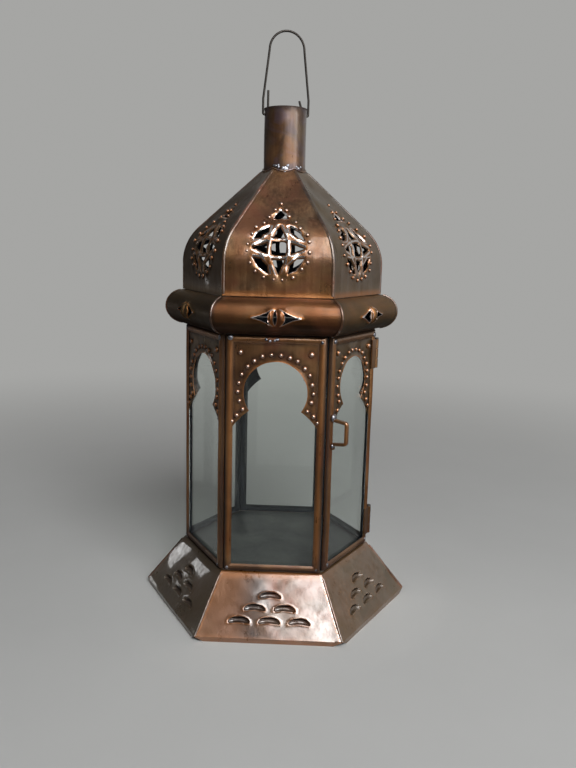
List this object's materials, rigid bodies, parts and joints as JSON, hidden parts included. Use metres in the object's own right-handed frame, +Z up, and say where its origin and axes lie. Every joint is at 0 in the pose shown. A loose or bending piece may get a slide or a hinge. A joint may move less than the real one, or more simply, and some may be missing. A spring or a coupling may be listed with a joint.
{
  "type": "candle lantern",
  "caption": "Hexagonal glazed candle lantern in copper-toned sheet metal with flared pierced base, hinged door, pierced dome, tube neck and swinging wire bail.",
  "frame": {"origin": "middle of the footprint, on the surface the lantern stands on", "axes": "+Z up along the lantern's axis, front wall facing -Y, door hinge towards +X"},
  "size_m": [0.168, 0.1456, 0.3437],
  "materials": {
    "copper_sheet": "iron sheet with an aged copper wash, brown patina and bright worn edges",
    "dark_sheet": "darkened copper-washed sheet",
    "steel_wire": "dull drawn wire",
    "window_glass": "clear sheet glass, faintly grey-green"
  },
  "bodies": {
    "lantern": {"floor_plate": "dark_sheet", "skirt_panel_front": "copper_sheet", "skirt_panel_front_right": "copper_sheet", "skirt_panel_back_right": "copper_sheet", "skirt_panel_back": "copper_sheet", "skirt_panel_back_left": "copper_sheet", "skirt_panel_front_left": "copper_sheet", "wall_frame_front": "copper_sheet", "wall_frame_back_right": "copper_sheet", "wall_frame_back": "copper_sheet", "wall_frame_back_left": "copper_sheet", "wall_frame_front_left": "copper_sheet", "glass_pane_front": "window_glass", "glass_pane_back_right": "window_glass", "glass_pane_back": "window_glass", "glass_pane_back_left": "window_glass", "glass_pane_front_left": "window_glass", "arch_plate_front": "copper_sheet", "arch_plate_back_right": "copper_sheet", "arch_plate_back": "copper_sheet", "arch_plate_back_left": "copper_sheet", "arch_plate_front_left": "copper_sheet", "cornice_roll_front": "copper_sheet", "cornice_roll_front_right": "copper_sheet", "cornice_roll_back_right": "copper_sheet", "cornice_roll_back": "copper_sheet", "cornice_roll_back_left": "copper_sheet", "cornice_roll_front_left": "copper_sheet", "dome_petal_front": "copper_sheet", "dome_petal_front_right": "copper_sheet", "dome_petal_back_right": "copper_sheet", "dome_petal_back": "copper_sheet", "dome_petal_back_left": "copper_sheet", "dome_petal_front_left": "copper_sheet", "neck_tube": "copper_sheet", "lower_hinge_wall_leaf": "copper_sheet", "upper_hinge_wall_leaf": "copper_sheet", "lower_hinge_pin": "steel_wire", "upper_hinge_pin": "steel_wire"},
    "door": {"door_frame": "copper_sheet", "door_glass_pane": "window_glass", "door_arch_plate": "copper_sheet", "door_pull": "copper_sheet", "lower_hinge_door_leaf": "copper_sheet", "upper_hinge_door_leaf": "copper_sheet"},
    "bail": {"bail": "steel_wire"}
  },
  "joints": [
    {"name": "door_swing", "type": "hinge", "parent": "lantern", "child": "door", "pos_m": [0.05935, 0, 0.10315], "axis": [0, 0, 1], "range_deg": [0, 180]},
    {"name": "bail_swing", "type": "hinge", "parent": "lantern", "child": "bail", "pos_m": [0, 0, 0.29652], "axis": [0.9781, 0.2079, 0], "range_deg": [-50, 50]}
  ]
}
